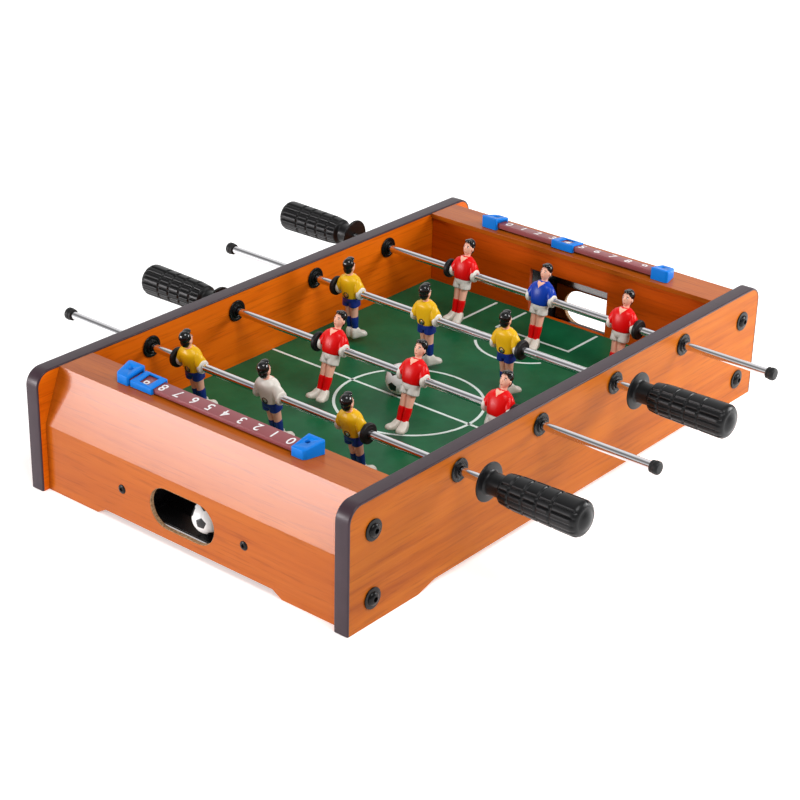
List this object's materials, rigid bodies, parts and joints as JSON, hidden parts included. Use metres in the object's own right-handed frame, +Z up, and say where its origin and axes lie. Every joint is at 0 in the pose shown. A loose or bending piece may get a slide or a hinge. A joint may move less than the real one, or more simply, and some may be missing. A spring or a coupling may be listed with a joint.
{
  "type": "foosball table",
  "caption": "Tabletop foosball table: open wooden cabinet with sliding, turning player rods, slide score counters, goal chutes and balls.",
  "frame": {"origin": "centre of the table's footprint, on the surface it stands on", "axes": "+X along the table's length from the near goal to the far goal, +Y along the rods from the front panel to the back panel, +Z up"},
  "size_m": [0.508, 0.529, 0.1109],
  "materials": {
    "orange_laminate": "orange cherry-wood laminate, satin",
    "deep_laminate": "deeper orange wood laminate, satin",
    "green_field": "printed green playing surface on thin board",
    "black_plastic": "black moulded plastic",
    "black_rubber": "black rubber",
    "chrome": "polished chrome plate on steel",
    "maroon_plastic": "maroon moulded plastic",
    "blue_plastic": "blue moulded plastic",
    "kit_yellow": "painted moulded figure, yellow shirt",
    "keeper_white": "painted moulded figure, white shirt",
    "kit_red": "painted moulded figure, red shirt",
    "keeper_blue": "painted moulded figure, blue shirt",
    "white_ball": "white plastic ball with black patches"
  },
  "bodies": {
    "cabinet": {"bushing_1_back": "black_plastic", "bushing_1_front": "black_plastic", "bushing_2_back": "black_plastic", "bushing_2_front": "black_plastic", "bushing_3_back": "black_plastic", "bushing_3_front": "black_plastic", "bushing_4_back": "black_plastic", "bushing_4_front": "black_plastic", "end_cover_far": "orange_laminate", "end_cover_near": "orange_laminate", "field_board": "green_field", "goal_box_far": "black_plastic", "goal_box_near": "black_plastic", "goal_wall_far": "deep_laminate", "goal_wall_near": "deep_laminate", "score_strip_far": "maroon_plastic", "score_strip_near": "maroon_plastic", "side_panel_back": "orange_laminate", "side_panel_front": "orange_laminate", "strip_mount_far_left": "blue_plastic", "strip_mount_far_right": "blue_plastic", "strip_mount_near_left": "blue_plastic", "strip_mount_near_right": "blue_plastic"},
    "rod_1_slider": {"bumper_1_cap": "black_rubber", "bumper_1_handle": "black_rubber"},
    "rod_1_turner": {"rod_1": "chrome", "handle_1": "black_plastic", "end_cap_1": "black_rubber", "player_1_1": "kit_yellow", "player_1_2": "keeper_white", "player_1_3": "kit_yellow"},
    "rod_2_slider": {"bumper_2_cap": "black_rubber", "bumper_2_handle": "black_rubber"},
    "rod_2_turner": {"rod_2": "chrome", "handle_2": "black_plastic", "end_cap_2": "black_rubber", "player_2_1": "kit_red", "player_2_2": "kit_red", "player_2_3": "kit_red"},
    "rod_3_slider": {"bumper_3_cap": "black_rubber", "bumper_3_handle": "black_rubber"},
    "rod_3_turner": {"rod_3": "chrome", "handle_3": "black_plastic", "end_cap_3": "black_rubber", "player_3_1": "kit_yellow", "player_3_2": "kit_yellow", "player_3_3": "kit_yellow"},
    "rod_4_slider": {"bumper_4_cap": "black_rubber", "bumper_4_handle": "black_rubber"},
    "rod_4_turner": {"rod_4": "chrome", "handle_4": "black_plastic", "end_cap_4": "black_rubber", "player_4_1": "kit_red", "player_4_2": "keeper_blue", "player_4_3": "kit_red"},
    "near_marker": {"score_marker_near": "blue_plastic"},
    "far_marker": {"score_marker_far": "blue_plastic"},
    "ball_in_play": {"field_ball": "white_ball"},
    "ball_in_goal": {"goal_ball": "white_ball"}
  },
  "joints": [
    {"name": "rod_1_slide", "type": "slide", "parent": "cabinet", "child": "rod_1_slider", "axis": [0, 1, 0], "range_m": [-0.0648, 0.022]},
    {"name": "rod_1_spin", "type": "hinge", "parent": "rod_1_slider", "child": "rod_1_turner", "pos_m": [-0.1405, 0.02, 0.081], "axis": [0, 1, 0], "continuous": true},
    {"name": "rod_2_slide", "type": "slide", "parent": "cabinet", "child": "rod_2_slider", "axis": [0, 1, 0], "range_m": [-0.003, 0.0838]},
    {"name": "rod_2_spin", "type": "hinge", "parent": "rod_2_slider", "child": "rod_2_turner", "pos_m": [-0.0468, -0.039, 0.081], "axis": [0, 1, 0], "continuous": true},
    {"name": "rod_3_slide", "type": "slide", "parent": "cabinet", "child": "rod_3_slider", "axis": [0, 1, 0], "range_m": [-0.0698, 0.017]},
    {"name": "rod_3_spin", "type": "hinge", "parent": "rod_3_slider", "child": "rod_3_turner", "pos_m": [0.0468, 0.025, 0.081], "axis": [0, 1, 0], "continuous": true},
    {"name": "rod_4_slide", "type": "slide", "parent": "cabinet", "child": "rod_4_slider", "axis": [0, 1, 0], "range_m": [-0.022, 0.0648]},
    {"name": "rod_4_spin", "type": "hinge", "parent": "rod_4_slider", "child": "rod_4_turner", "pos_m": [0.1405, -0.02, 0.081], "axis": [0, 1, 0], "continuous": true},
    {"name": "near_marker_slide", "type": "slide", "parent": "cabinet", "child": "near_marker", "axis": [0, 1, 0], "range_m": [-0.135, 0.0016]},
    {"name": "far_marker_slide", "type": "slide", "parent": "cabinet", "child": "far_marker", "axis": [0, 1, 0], "range_m": [-0.0786, 0.058]},
    {"name": "ball_in_play_roll", "type": "slide", "parent": "cabinet", "child": "ball_in_play", "axis": [0, 1, 0], "range_m": [-0.143, 0.119]},
    {"name": "ball_in_goal_roll", "type": "slide", "parent": "cabinet", "child": "ball_in_goal", "axis": [-1, 0, 0], "range_m": [0, 0.03]}
  ]
}
